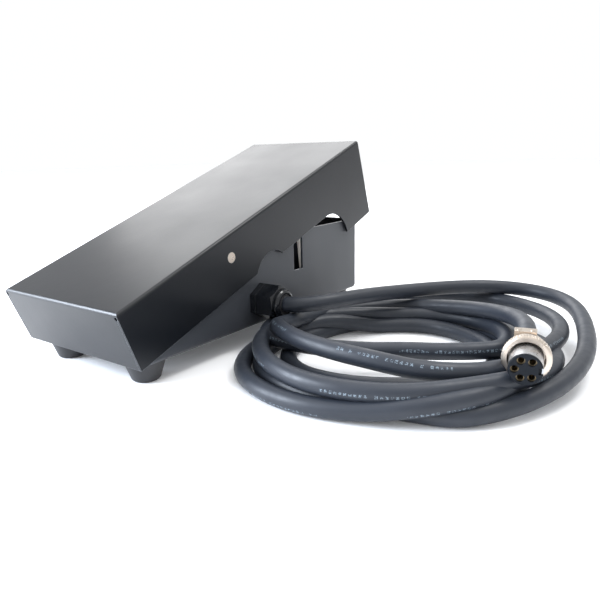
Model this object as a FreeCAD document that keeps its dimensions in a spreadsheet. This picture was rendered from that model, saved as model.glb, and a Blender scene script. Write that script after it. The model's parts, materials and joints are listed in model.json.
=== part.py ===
import FreeCAD, Part
import math
import os
import re

import Sketcher
from FreeCAD import Placement, Rotation, Vector

# Foot pedal control: a rocking sheet-metal cover on a sheet-metal base with rubber feet, a potentiometer
# driven by a toothed sector, a switch, a return spring, and a coiled cable that ends in a screw-ring plug.
# Frame: +X from the low end to the high end, -Y is the side that the cable leaves, +Z up,
# origin on the floor under the middle of the pedal. Millimetres and degrees.

SIZES = {
    # cover, in its own frame: along the plate from its low edge, and depth below its top face
    "plate_length": 232, "cover_width": 100, "plate_tilt": 19.53, "gauge": 1.5, "lip_depth": 33.3,
    "rear_depth": 56, "arch_radius": 22.4, "arch_along": 174.8, "notch_radius": 16.5, "notch_along": 109,
    "notch_depth": 43, "bend_radius": 1.8, "flange_corner": 1.2, "seam_width": 0.35, "seam_top": 2.6,
    "relief_radius": 1.1,
    # pivot
    "pivot_x": -39.1, "pivot_z": 57.5, "pivot_along": 79.3, "pivot_depth": 13.3, "rod_diameter": 6,
    "bush_bore": 6.14, "bush_diameter": 10, "bush_flange": 13, "bush_seat": 1.8,
    # base tray
    "base_front": -102, "base_rear": 102.2, "base_half": 47.8, "base_bottom": 12, "wall_top": 64.7,
    "front_top": 41, "base_corner": 3, "base_bend": 2,
    "slot_front": 22.3, "slot_rear": 32.2, "slot_bottom": 38.8, "slot_top": 60,
    # rubber feet
    "foot_x_front": -92.2, "foot_x_rear": 90.3, "foot_y": 33.8, "foot_top": 22.8, "foot_bottom": 15.4,
    "foot_recess": 9, "foot_web": 7,
    # fasteners: pan-head screws and nuts of two sizes
    "small_screw": 3, "small_head": 5.6, "small_head_height": 2, "small_flats": 5.5, "small_nut_height": 2.4,
    "large_screw": 4, "large_head": 7.6, "large_head_height": 2.4, "large_flats": 7, "large_nut_height": 3.2,
    "screw_gap": 0.3, "head_edge": 0.5,
    # stop brackets and buffers
    "strap_gauge": 2, "stop_inner": 31, "stop_outer": 46, "stop_top": 62, "stop_lean": 6.8,
    "stop_x": 30.4, "stop_ledge": 18, "stop_foot": 17, "stop_width": 10, "stop_screw_x": 46.5,
    "buffer_along": 10, "buffer_stem": 4, "buffer_tail": 3, "buffer_diameter": 11, "buffer_height": 9,
    "buffer_round": 2,
    # return spring
    "spring_x": 66, "spring_top_x": 62, "spring_radius": 8, "spring_wire": 1.6, "spring_turns": 10,
    "spring_low": 16.2, "spring_high": 99.3, "seat_diameter": 24, "seat_boss": 10, "seat_plate": 1.5,
    "seat_boss_height": 4, "seat_along": 191.3,
    # toothed sector and the angle that carries it, in the cover's frame
    "tooth_module": 1, "sector_teeth": 120, "pinion_teeth": 12, "mesh_angle": -20, "mesh_gap": 0.15,
    "sector_near": 10, "sector_gauge": 3, "angle_along": 119, "angle_length": 30, "angle_drop": 15,
    "angle_reach": 16, "sector_hole_first": 125, "sector_hole_last": 143, "sector_hole_depth": 10,
    "sector_rim": 14, "sector_screw_length": 10,
    # pinion and potentiometer
    "pinion_near": 8.5, "pinion_width": 6, "pinion_hub": 10, "hub_length": 5, "pot_diameter": 24,
    "pot_depth": 12, "pot_panel": -6, "pot_thread": 9, "pot_bush": 8, "pot_shaft": 6, "pot_front": 5.9,
    "pot_plate_width": 34, "pot_plate_height": 38, "pot_foot_reach": 24,
    # switch
    "switch_front": -52.1, "switch_length": 27.8, "switch_near": 20, "switch_width": 10.3,
    "switch_low": 32.6, "switch_tall": 15.9, "lever_x": -50.1, "lever_z": 50.2, "lever_length": 30.5,
    "lever_angle": 9.4, "lever_gauge": 0.5, "lever_width": 6.5, "lever_axle": 1.2, "plunger_diameter": 3,
    "plunger_offset": 5, "plunger_length": 5.9, "switch_plate_width": 32, "switch_plate_height": 36,
    "switch_foot_reach": 14, "striker_along": 94.6, "striker_drop": 21.15, "striker_near": 21,
    "striker_width": 8, "striker_gauge": 2, "striker_ledge": 12,
    # cable gland in the near wall
    "gland_x": -13.1, "gland_z": 26.8, "gland_thread": 15.2, "gland_flats": 19, "gland_hex": 4,
    "gland_reach": 8, "gland_neck": 14.4, "dome_length": 15.4, "dome_gap": 0.3, "dome_mouth": 12.4,
    "dome_bore": 14.6, "gland_bore": 9.6, "locknut_length": 4.5, "sheath_end": 3,
    # cable
    "cable_diameter": 9.2, "coil_x": 17, "coil_y": -133, "coil_long": 107, "coil_short": 81, "coil_turn": -12,
    "hole_long": 55, "hole_short": 27, "hole_turn": -53, "coil_low": 12, "coil_high": 28, "pile_edge": -28,
    "core_diameter": 1.2,
    # plug, along its own axis from its middle towards the nose
    "plug_x": -22.6, "plug_y": -207.3, "plug_z": 23.7, "plug_heading": 193.1, "plug_dip": 2.5,
    "ring_diameter": 21.2, "ring_front": 1, "ring_collar": 3.8, "ring_neck": 18.6, "ring_back": -7.5,
    "ring_bore": 16.2, "sleeve_diameter": 14.3, "sleeve_gauge": 0.7, "nose_reach": 12, "insert_face": 13,
    "barrel_diameter": 15.4, "barrel_end": -14.5, "saddle_top": 9.4, "saddle_width": 9.6, "saddle_shift": 1.2,
    "contact_ring": 4.35,
    "contact_hole": 3.5, "contact_recess": 1.4,
}

doc = FreeCAD.newDocument("foot_pedal")
sheet = doc.addObject("Spreadsheet::Sheet", "Sizes")
for row, (name, number) in enumerate(SIZES.items(), start=1):
    sheet.set("A%d" % row, name)
    sheet.set("B%d" % row, str(number))
    sheet.setAlias("B%d" % row, name)
doc.recompute()

exported = []
UP = Vector(0, 0, 1)
ALONG_Y = Rotation(UP, Vector(0, 1, 0))
AGAINST_Y = Rotation(UP, Vector(0, -1, 0))
SIDES = ("near", "far")


# ---- helpers -------------------------------------------------------------------------------------------

def link(expression):
    """The expression with every size name turned into a reference to the sheet."""
    def linked(word):
        return "Sizes." + word[0] if word[0] in SIZES else word[0]
    return re.sub(r"[a-z_]+", linked, str(expression))


def value(expression):
    result = sheet.evalExpression(link(expression))
    return float(getattr(result, "Value", result))


def spot(x, y, z):
    return Vector(value(x), value(y), value(z))


def keep(piece, label):
    """Give a finished sub-part the name of its node and mark it for writing."""
    piece.Label = label
    exported.append(piece)
    return piece


def new_body(label):
    return doc.addObject("PartDesign::Body", label + "_body")


def new_sketch(body, plane):
    sketch = body.newObject("Sketcher::SketchObject", body.Name + "_outline")
    face = next(item for item in body.Origin.OriginFeatures if item.Role == plane)
    sketch.AttachmentSupport = (face, "")
    sketch.MapMode = "FlatFace"
    return sketch


def bind(sketch, kind, line, point, expression):
    number = sketch.addConstraint(Sketcher.Constraint(kind, line, point, value(expression)))
    sketch.setExpression("Constraints[%d]" % number, link(expression))


def draw_polygon(sketch, corners):
    """A closed outline whose corners are tied to the sheet."""
    first = sketch.GeometryCount
    count = len(corners)
    places = [Vector(value(across), value(along), 0) for across, along in corners]
    for index in range(count):
        sketch.addGeometry(Part.LineSegment(places[index], places[(index + 1) % count]))
    for index in range(count):
        following = first + (index + 1) % count
        sketch.addConstraint(Sketcher.Constraint("Coincident", first + index, 2, following, 1))
    for index, (across, along) in enumerate(corners):
        bind(sketch, "DistanceX", first + index, 1, across)
        bind(sketch, "DistanceY", first + index, 1, along)


def draw_rectangle(sketch, left, right, low, high):
    draw_polygon(sketch, [(left, low), (right, low), (right, high), (left, high)])


def draw_circle(sketch, across, along, radius):
    centre = Vector(value(across), value(along), 0)
    number = sketch.addGeometry(Part.Circle(centre, UP, value(radius)))
    bind(sketch, "DistanceX", number, 3, across)
    bind(sketch, "DistanceY", number, 3, along)
    size = sketch.addConstraint(Sketcher.Constraint("Radius", number, value(radius)))
    sketch.setExpression("Constraints[%d]" % size, link(radius))


def add_pad(body, sketch, length, both_sides=False, backwards=False):
    pad = body.newObject("PartDesign::Pad", body.Name + "_pad")
    pad.Profile = sketch
    pad.Midplane = both_sides
    pad.Reversed = backwards
    pad.setExpression("Length", link(length))
    doc.recompute()
    return pad


def add_pocket(body, sketch, length, both_sides=False, backwards=False):
    """Cut the sketch out of the body, and stop if nothing was cut."""
    before = body.Shape.Volume
    pocket = body.newObject("PartDesign::Pocket", body.Name + "_pocket")
    pocket.Profile = sketch
    pocket.Midplane = both_sides
    pocket.Reversed = backwards
    pocket.setExpression("Length", link(length))
    doc.recompute()
    if body.Shape.Volume > before - 0.01:
        raise RuntimeError("a pocket in %s cuts nothing" % body.Name)
    return pocket


def add_fillet(body, radius, wanted):
    """Round the edges of the body's tip that the test picks out."""
    tip = body.Tip
    names = ["Edge%d" % (index + 1) for index, edge in enumerate(tip.Shape.Edges) if wanted(edge)]
    fillet = body.newObject("PartDesign::Fillet", body.Name + "_fillet")
    fillet.Base = (tip, names)
    fillet.setExpression("Radius", link(radius))
    doc.recompute()
    return fillet


def runs_along(edge, axis, **fixed):
    """True for a straight edge along one axis that has the given coordinates on the others."""
    ends = [vertex.Point for vertex in edge.Vertexes]
    if len(ends) != 2 or edge.Curve.TypeId != "Part::GeomLine":
        return False
    if abs(getattr(ends[0] - ends[1], axis)) < edge.Length - 0.001:
        return False
    return all(abs(getattr(ends[0], name) - number) < 0.01 for name, number in fixed.items())


def turned(label, outline, place=None, export=True):
    """A body turned about its own Z axis: the outline holds radius and height pairs."""
    body = new_body(label)
    sketch = new_sketch(body, "XZ_Plane")
    draw_polygon(sketch, outline)
    doc.recompute()
    revolution = body.newObject("PartDesign::Revolution", label + "_turning")
    revolution.Profile = sketch
    revolution.ReferenceAxis = (sketch, ["V_Axis"])
    revolution.Angle = 360
    doc.recompute()
    body.Placement = place or Placement()
    return keep(body, label) if export else body


def box(name, x, y, z, size_x, size_y, size_z, place=None):
    block = doc.addObject("Part::Box", name)
    for prop, expression in (("Length", size_x), ("Width", size_y), ("Height", size_z)):
        block.setExpression(prop, link(expression))
    for prop, expression in (("x", x), ("y", y), ("z", z)):
        block.setExpression("Placement.Base." + prop, link(expression))
    if place:
        block.setExpression("Placement.Base.x", None)
        block.setExpression("Placement.Base.y", None)
        block.setExpression("Placement.Base.z", None)
        block.Placement = place.multiply(Placement(spot(x, y, z), Rotation()))
    return block


def rod(name, base, rotation, diameter, length):
    pin = doc.addObject("Part::Cylinder", name)
    pin.setExpression("Radius", link("(%s) / 2" % diameter))
    pin.setExpression("Height", link(length))
    pin.Placement = Placement(base, rotation)
    return pin


def hexagon(name, base, rotation, flats, length):
    prism = doc.addObject("Part::Prism", name)
    prism.Polygon = 6
    prism.setExpression("Circumradius", link("(%s) / 2 / cos(30 deg)" % flats))
    prism.setExpression("Height", link(length))
    prism.Placement = Placement(base, rotation)
    return prism


def fuse(name, pieces):
    union = doc.addObject("Part::MultiFuse", name)
    union.Shapes = pieces
    union.Refine = True
    doc.recompute()
    return union


def cut(name, base, tools):
    """Take the tools away from the base, and stop if one of them misses it."""
    result = base
    for number, tool in enumerate(tools):
        step = doc.addObject("Part::Cut", "%s_cut%d" % (name, number))
        step.Base = result
        step.Tool = tool
        doc.recompute()
        if step.Shape.Volume > result.Shape.Volume - 0.001:
            raise RuntimeError("cut %d of %s takes nothing away" % (number, name))
        result = step
    return result


def made(label, shape):
    """A sub-part whose shape comes straight from geometry that is worked out."""
    piece = doc.addObject("Part::Feature", label)
    piece.Shape = shape
    return keep(piece, label)


def group(label, master, places):
    """Identical pieces that share one node, as separate solids."""
    doc.recompute()
    base = master.Shape.copy()
    base.Placement = Placement()
    return made(label, Part.Compound([base.transformed(place.toMatrix(), True) for place in places]))


def screw(name, size, length):
    """A pan-head screw of one of the two sizes, head at the bottom: the thread starts at height 0."""
    head = size + "_head"
    low = "-%s_height" % head
    outline = [("0", low), (head + " / 2 - head_edge", low), (head + " / 2", low + " + head_edge"),
               (head + " / 2", "0"),
               (size + "_screw / 2", "0"), (size + "_screw / 2", length), ("0", length)]
    return turned(name, outline, export=False)


def nut(name, size):
    height = size + "_nut_height"
    blank = hexagon(name + "_hexagon", Vector(), Rotation(), size + "_flats", height)
    bore = rod(name + "_bore", Vector(0, 0, -1), Rotation(), size + "_screw", height + " + 2")
    return cut(name, blank, [bore])


def copies(label, names, master, places):
    """Identical pieces, each a node of its own."""
    doc.recompute()
    base = master.Shape.copy()
    base.Placement = Placement()
    for name, place in zip(names, places):
        piece = made("%s_%s" % (label, name), base)
        piece.Placement = place


def standing(points):
    """Placements with the Z axis up."""
    return [Placement(Vector(*point), Rotation()) for point in points]


def tube(label, points, diameter):
    """A round tube along straight runs joined by tangent arcs, as large as each pair of runs allows."""
    edges = []
    radii = []
    last = points[0]
    for before, corner, after in zip(points, points[1:], points[2:]):
        back = before - corner
        onward = after - corner
        turn = math.pi - back.getAngle(onward)
        reach = 0.45 * min(back.Length, onward.Length)
        radius = reach / math.tan(turn / 2)
        back.normalize()
        onward.normalize()
        inward = (back + onward).normalize()
        start = corner + back * reach
        end = corner + onward * reach
        middle = corner + inward * (radius / math.cos(turn / 2) - radius)
        edges += [Part.LineSegment(last, start).toShape(), Part.Arc(start, middle, end).toShape()]
        radii.append(radius)
        last = end
    edges.append(Part.LineSegment(last, points[-1]).toShape())
    path = doc.addObject("Part::Feature", label + "_path")
    path.Shape = Part.Wire(edges)
    section = doc.addObject("Part::Circle", label + "_section")
    section.Radius = diameter / 2
    section.Placement = Placement(points[0], Rotation(UP, points[1] - points[0]))
    doc.recompute()
    sweep = doc.addObject("Part::Sweep", label + "_sweep")
    sweep.Sections = [section]
    sweep.Spine = (path, ["Edge%d" % (index + 1) for index in range(len(edges))])
    sweep.Solid = True
    sweep.Frenet = False
    doc.recompute()
    expected = math.pi * diameter ** 2 / 4 * path.Shape.Length
    print("%s: length %.1f, volume / expected %.4f, radii %s"
          % (label, path.Shape.Length, sweep.Shape.Volume / expected, [round(number, 1) for number in radii]))
    return keep(sweep, label)


# ---- cover: rocks about the pivot rod -------------------------------------------------------------------

def cover_place():
    """Where the cover's own frame lies, with the pivot hole on the pivot."""
    rotation = Rotation(Vector(0, 1, 0), -value("plate_tilt"))
    pivot = spot("pivot_x", "0", "pivot_z")
    return Placement(pivot - rotation.multVec(spot("pivot_along", "0", "-pivot_depth")), rotation)


def pedal_cover():
    """One folded sheet: the lip stands between the side flanges, with an open seam and a relief at each."""
    body = new_body("pedal_cover")
    outline = new_sketch(body, "XZ_Plane")
    draw_polygon(outline, [("0", "0"), ("plate_length", "0"), ("plate_length", "-rear_depth"),
                           ("arch_along", "-rear_depth"), ("arch_along", "-lip_depth"), ("0", "-lip_depth")])
    add_pad(body, outline, "cover_width", both_sides=True)
    half = value("cover_width / 2")
    add_fillet(body, "bend_radius", lambda edge: (
        runs_along(edge, "x", y=-half, z=0) or runs_along(edge, "x", y=half, z=0)
        or runs_along(edge, "y", x=0, z=0)))
    add_fillet(body, "flange_corner", lambda edge: (
        runs_along(edge, "y", x=value("plate_length"), z=-value("rear_depth"))))
    inside = new_sketch(body, "XZ_Plane")
    draw_rectangle(inside, "gauge", "plate_length + 5", "-rear_depth - 5", "-gauge")
    add_pocket(body, inside, "cover_width - 2 * gauge", both_sides=True)
    arch = new_sketch(body, "XZ_Plane")
    draw_circle(arch, "arch_along", "-lip_depth - arch_radius", "arch_radius")
    add_pocket(body, arch, "cover_width + 10", both_sides=True)
    notch = new_sketch(body, "XZ_Plane")
    draw_circle(notch, "notch_along", "-notch_depth", "notch_radius")
    add_pocket(body, notch, "cover_width", backwards=True)
    hole = new_sketch(body, "XZ_Plane")
    draw_circle(hole, "pivot_along", "-pivot_depth", "rod_diameter / 2")
    add_pocket(body, hole, "cover_width + 10", both_sides=True)
    seams = new_sketch(body, "YZ_Plane")
    edge = "cover_width / 2 - gauge"
    draw_rectangle(seams, edge + " - seam_width", edge, "-lip_depth - 1", "-seam_top")
    draw_rectangle(seams, "-(%s)" % edge, "seam_width - (%s)" % edge, "-lip_depth - 1", "-seam_top")
    add_pocket(body, seams, "3 * gauge", both_sides=True)
    reliefs = new_sketch(body, "YZ_Plane")
    draw_circle(reliefs, edge, "-seam_top", "relief_radius")
    draw_circle(reliefs, "-(%s)" % edge, "-seam_top", "relief_radius")
    add_pocket(body, reliefs, "3 * gauge", both_sides=True)
    body.Placement = cover_place()
    keep(body, "pedal_cover")


def pivot_rod():
    base = spot("pivot_x", "-cover_width / 2", "pivot_z")
    keep(rod("pivot_rod", base, ALONG_Y, "rod_diameter", "cover_width"), "pivot_rod")


def spring_seats():
    outline = [("0", "0"), ("seat_diameter / 2", "0"), ("seat_diameter / 2", "seat_plate"),
               ("seat_boss / 2", "seat_plate"), ("seat_boss / 2 - 1", "seat_plate + seat_boss_height"),
               ("0", "seat_plate + seat_boss_height")]
    turned("spring_seat_lower", outline, Placement(spot("spring_x", "0", "base_bottom + gauge"), Rotation()))
    under = Placement(spot("seat_along", "0", "-gauge"), Rotation(Vector(1, 0, 0), 180))
    turned("spring_seat_upper", outline, cover_place().multiply(under))


def return_spring():
    low = spot("spring_x", "0", "spring_low")
    axis = spot("spring_top_x", "0", "spring_high") - low
    helix = doc.addObject("Part::Helix", "spring_helix")
    helix.Radius = value("spring_radius")
    helix.Height = axis.Length
    helix.Pitch = axis.Length / value("spring_turns")
    section = doc.addObject("Part::Circle", "spring_section")
    section.Radius = value("spring_wire / 2")
    section.Placement = Placement(spot("spring_radius", "0", "0"), Rotation(Vector(1, 0, 0), 90))
    doc.recompute()
    sweep = doc.addObject("Part::Sweep", "spring_sweep")
    sweep.Sections = [section]
    sweep.Spine = (helix, ["Edge1"])
    sweep.Solid = True
    sweep.Frenet = True
    doc.recompute()
    sweep.Placement = Placement(low, Rotation(UP, axis))
    keep(sweep, "return_spring")


def sector_holes():
    """Where the two screws of the toothed sector lie, seen along the pivot."""
    return [cover_place().multVec(spot(along, "0", "-sector_hole_depth"))
            for along in ("sector_hole_first", "sector_hole_last")]


def sector_bracket():
    """An angle welded under the plate; the sector is screwed to its hanging leg."""
    place = cover_place()
    face = "sector_near + sector_gauge"
    leg = box("bracket_leg", "angle_along", face, "-gauge - angle_drop", "angle_length", "gauge",
              "angle_drop", place)
    ledge = box("bracket_ledge", "angle_along", face, "-2 * gauge", "angle_length", "angle_reach", "gauge",
                place)
    holes = [rod("bracket_hole%d" % number, centre, ALONG_Y, "large_screw + screw_gap", "40")
             for number, centre in enumerate(sector_holes())]
    keep(cut("sector_bracket", fuse("bracket_blank", [leg, ledge]), holes), "sector_bracket")


TOOTH_SHARE = 0.41
TOOTH_SLOPE = 0.5
TOOTH_ROOT = 1.2
TOOTH_TIP = 0.85


def tooth_outline(root, tip, pitch_radius, half_angle, slope):
    """One tooth as four points, radius and angle, symmetrical about angle 0."""
    corners = []
    for radius, side in ((root, -1), (tip, -1), (tip, 1), (root, 1)):
        angle = half_angle - slope * (radius - pitch_radius)
        corners.append((radius, side * angle))
    return corners


def gear_points(centre, teeth, pitch_radius, facing, first, count):
    """The toothed edge of a gear in the XZ plane, tooth by tooth, angles in degrees."""
    module = value("tooth_module")
    pitch = 360 / teeth
    half_angle = TOOTH_SHARE / 2 * pitch
    slope = math.degrees(TOOTH_SLOPE / pitch_radius)
    root = pitch_radius - TOOTH_ROOT * module
    tip = pitch_radius + TOOTH_TIP * module
    points = []
    for number in range(count):
        middle = facing + (first + number) * pitch
        for radius, angle in tooth_outline(root, tip, pitch_radius, half_angle, slope):
            turn = math.radians(middle + angle)
            points.append(centre + Vector(radius * math.cos(turn), 0, radius * math.sin(turn)))
    return points


def plate_from(points, thickness):
    """A flat plate: a closed outline in an XZ plane, given its thickness along +Y."""
    return Part.Face(Part.makePolygon(points + points[:1])).extrude(Vector(0, thickness, 0))


def sector_gear():
    """Toothed about the pivot; a tooth gap faces the pinion at rest."""
    place = cover_place()
    centre = spot("pivot_x", "sector_near", "pivot_z")
    radius = value("tooth_module * sector_teeth / 2")
    teeth = gear_points(centre, value("sector_teeth"), radius, value("mesh_angle"), -2.5, 10)
    front, back = value("angle_along"), value("angle_along + angle_length")
    tab = [place.multVec(Vector(along, centre.y, -depth))
           for along, depth in ((back, 20), (back, 4), (front, 4), (front - 3, 30))]
    low = math.radians(value("mesh_angle") - 9)
    inner = centre + Vector(math.cos(low), 0, math.sin(low)) * (radius - value("sector_rim"))
    shape = plate_from(teeth + tab + [inner], value("sector_gauge"))
    for hole in sector_holes():
        shape = shape.cut(Part.makeCylinder(value("(large_screw + screw_gap) / 2"), 30, hole,
                                            Vector(0, 1, 0)))
    made("sector_gear", shape)


def sector_fasteners():
    near = value("sector_near")
    back = value("sector_near + sector_gauge + gauge")
    starts = [Placement(Vector(hole.x, near, hole.z), ALONG_Y) for hole in sector_holes()]
    ends = [Placement(Vector(hole.x, back, hole.z), ALONG_Y) for hole in sector_holes()]
    group("sector_screws", screw("sector_screw", "large", "sector_screw_length"), starts)
    group("sector_nuts", nut("sector_nut", "large"), ends)


def switch_striker():
    """A bent tab under the plate whose tip follows the switch lever."""
    place = cover_place()
    tab = box("striker_tab", "striker_along", "striker_near", "-striker_drop", "striker_gauge",
              "striker_width",
              "striker_drop - gauge", place)
    ledge = box("striker_ledge", "striker_along + striker_gauge", "striker_near", "-gauge - striker_gauge",
                "striker_ledge", "striker_width", "striker_gauge", place)
    keep(fuse("switch_striker", [tab, ledge]), "switch_striker")


# ---- base ----------------------------------------------------------------------------------------------

def floor_holes():
    """Screw holes in the base floor: place and diameter."""
    gap = value("screw_gap")
    large = value("large_screw") + gap
    small = value("small_screw") + gap
    holes = [(x, y, large) for x, y in foot_spots()]
    holes += [(x, y, large) for x, y in stop_screw_spots()]
    holes += [(x, y, small) for x, y in bracket_screw_spots()]
    return holes


def foot_spots():
    y = value("foot_y")
    return [(value(x), side * y) for x in ("foot_x_front", "foot_x_rear") for side in (-1, 1)]


def stop_screw_spots():
    return [(value("stop_screw_x"), side * value("(stop_inner + stop_outer) / 2")) for side in (-1, 1)]


def bracket_screw_spots():
    """Two for the potentiometer bracket, two for the switch bracket."""
    pot_y = value("pot_panel") - 18
    switch_y = value("switch_near + switch_width") + 8.7
    pot = [(value("pot_front") + along, pot_y) for along in (6, 28)]
    switch = [(value("switch_front") + along, switch_y) for along in (5, 23)]
    return pot + switch


def base_housing():
    body = new_body("base_housing")
    outline = new_sketch(body, "XZ_Plane")
    draw_polygon(outline, [("base_front", "base_bottom"), ("base_rear", "base_bottom"),
                           ("base_rear", "wall_top"),
                           ("pivot_x", "wall_top"), ("base_front", "front_top")])
    add_pad(body, outline, "2 * base_half", both_sides=True)
    bottom = value("base_bottom")
    ends = [value("base_front"), value("base_rear")]
    sides = [-value("base_half"), value("base_half")]
    add_fillet(body, "base_corner", lambda edge: any(runs_along(edge, "y", x=x, z=bottom) for x in ends))
    inside = new_sketch(body, "XZ_Plane")
    draw_rectangle(inside, "base_front + gauge", "base_rear - gauge", "base_bottom + gauge", "wall_top + 5")
    add_pocket(body, inside, "2 * (base_half - gauge)", both_sides=True)
    add_fillet(body, "base_bend", lambda edge: any(runs_along(edge, "x", y=y, z=bottom) for y in sides))
    pivot = new_sketch(body, "XZ_Plane")
    draw_circle(pivot, "pivot_x", "pivot_z", "bush_diameter / 2")
    add_pocket(body, pivot, "3 * base_half", both_sides=True)
    gland = new_sketch(body, "XZ_Plane")
    draw_circle(gland, "gland_x", "gland_z", "gland_thread / 2 + 0.1")
    add_pocket(body, gland, "2 * base_half", backwards=True)
    slot = new_sketch(body, "XZ_Plane")
    draw_rectangle(slot, "slot_front", "slot_rear", "slot_bottom", "slot_top")
    add_pocket(body, slot, "2 * base_half", backwards=True)
    for x, y, diameter in floor_holes():
        hole = new_sketch(body, "XY_Plane")
        draw_circle(hole, x, y, diameter / 2)
        add_pocket(body, hole, "base_bottom + gauge + 1", backwards=True)
    keep(body, "base_housing")


def pivot_bushes():
    """Flanged bushes in the two side walls, flange on the inside."""
    outline = [("bush_bore / 2", "0"), ("bush_flange / 2", "0"), ("bush_flange / 2", "bush_seat"),
               ("bush_diameter / 2", "bush_seat"), ("bush_diameter / 2", "bush_seat + gauge"),
               ("bush_bore / 2", "bush_seat + gauge")]
    bush = turned("pivot_bush", outline, export=False)
    inner = value("base_half - gauge - bush_seat")
    x, z = value("pivot_x"), value("pivot_z")
    places = [Placement(Vector(x, -inner, z), AGAINST_Y), Placement(Vector(x, inner, z), ALONG_Y)]
    copies("pivot_bush", SIDES, bush, places)


def rubber_feet():
    outline = [("foot_recess / 2", "0"), ("foot_bottom / 2 - 1", "0"), ("foot_bottom / 2", "1"),
               ("foot_top / 2", "base_bottom"), ("(large_screw + screw_gap) / 2", "base_bottom"),
               ("(large_screw + screw_gap) / 2", "base_bottom - foot_web"), ("foot_recess / 2",
                                                                             "base_bottom - foot_web")]
    foot = turned("rubber_foot", outline, export=False)
    corners = ["%s_%s" % (end, side) for end in ("front", "rear") for side in SIDES]
    copies("rubber_foot", corners, foot, standing([(x, y, 0) for x, y in foot_spots()]))
    head = value("base_bottom - foot_web")
    top = value("base_bottom + gauge")
    group("foot_screws", screw("foot_screw", "large", "13"),
          standing([(x, y, head) for x, y in foot_spots()]))
    group("foot_nuts", nut("foot_nut", "large"), standing([(x, y, top) for x, y in foot_spots()]))


def stop_bracket(name, side):
    """A plated bracket beside the wall: a leaning upright with its ledge and its foot bent inwards."""
    inner, outer = value("stop_inner"), value("stop_outer")
    edge = min(side * inner, side * outer)
    wall = min(side * outer, side * (outer - value("strap_gauge")))
    floor = "base_bottom + gauge"
    rise = value("stop_top - base_bottom - gauge")
    foot_x = value("stop_x") + rise * math.tan(math.radians(value("stop_lean")))
    lean = Placement(Vector(foot_x, 0, value(floor)), Rotation(Vector(0, 1, 0), -value("stop_lean")))
    reach = "stop_outer - stop_inner"
    ledge = box(name + "_ledge", "stop_x", "%f" % edge, "stop_top - strap_gauge", "stop_ledge", reach,
                "strap_gauge")
    foot = box(name + "_foot", "%f" % foot_x, "%f" % edge, floor, "stop_foot", reach, "strap_gauge")
    upright = box(name + "_upright", "0.2", "%f" % wall, "0.4", "stop_width", "strap_gauge",
                  "stop_top - 15", lean)
    middle = side * (inner + outer) / 2
    seat = rod(name + "_seat", Vector(value("stop_x + buffer_along"), middle, value("stop_top - 5")),
               Rotation(),
               "buffer_stem", "8")
    fixing = rod(name + "_hole", Vector(value("stop_screw_x"), middle, value("base_bottom")), Rotation(),
                 "large_screw + screw_gap", "8")
    keep(cut(name, fuse(name + "_blank", [ledge, foot, upright]), [seat, fixing]), name)


def stop_brackets():
    """Two brackets and the rubber buffers that the plate comes down on."""
    for name, side in zip(SIDES, (-1, 1)):
        stop_bracket("stop_bracket_" + name, side)
    buffer_outline = [("0", "-buffer_tail"), ("buffer_stem / 2", "-buffer_tail"), ("buffer_stem / 2", "0"),
                      ("buffer_diameter / 2", "0"), ("buffer_diameter / 2", "buffer_height - buffer_round"),
                      ("buffer_diameter / 2 - buffer_round", "buffer_height"), ("0", "buffer_height")]
    stop_buffer = turned("stop_buffer", buffer_outline, export=False)
    middle = value("(stop_inner + stop_outer) / 2")
    at_top = [(value("stop_x + buffer_along"), side * middle, value("stop_top")) for side in (-1, 1)]
    copies("stop_buffer", SIDES, stop_buffer, standing(at_top))
    under = [(x, y, value("base_bottom")) for x, y in stop_screw_spots()]
    above = [(x, y, value("base_bottom + gauge + strap_gauge")) for x, y in stop_screw_spots()]
    group("stop_screws", screw("stop_screw", "large", "9"), standing(under))
    group("stop_nuts", nut("stop_nut", "large"), standing(above))


# ---- potentiometer and pinion ----------------------------------------------------------------------------

def mesh_centre():
    """The pinion's axis, where its pitch circle meets the sector's."""
    reach = value("tooth_module * (sector_teeth + pinion_teeth) / 2 + mesh_gap")
    angle = math.radians(value("mesh_angle"))
    return value("pivot_x") + reach * math.cos(angle), value("pivot_z") + reach * math.sin(angle)


def pot_bracket():
    x, z = mesh_centre()
    floor = "base_bottom + gauge"
    upright = box("pot_upright", "pot_front", "pot_panel", floor, "pot_plate_width", "strap_gauge",
                  "pot_plate_height")
    foot = box("pot_foot", "pot_front", "pot_panel - pot_foot_reach", floor, "pot_plate_width",
               "pot_foot_reach + strap_gauge", "strap_gauge")
    panel_hole = rod("pot_panel_hole", Vector(x, value("pot_panel") - 1, z), ALONG_Y, "pot_thread + 0.2", "4")
    holes = [rod("pot_foot_hole%d" % number, Vector(hole_x, hole_y, 10), Rotation(),
                 "small_screw + screw_gap", "8")
             for number, (hole_x, hole_y) in enumerate(bracket_screw_spots()[:2])]
    keep(cut("pot_bracket", fuse("pot_bracket_blank", [upright, foot]), [panel_hole] + holes), "pot_bracket")


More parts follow.
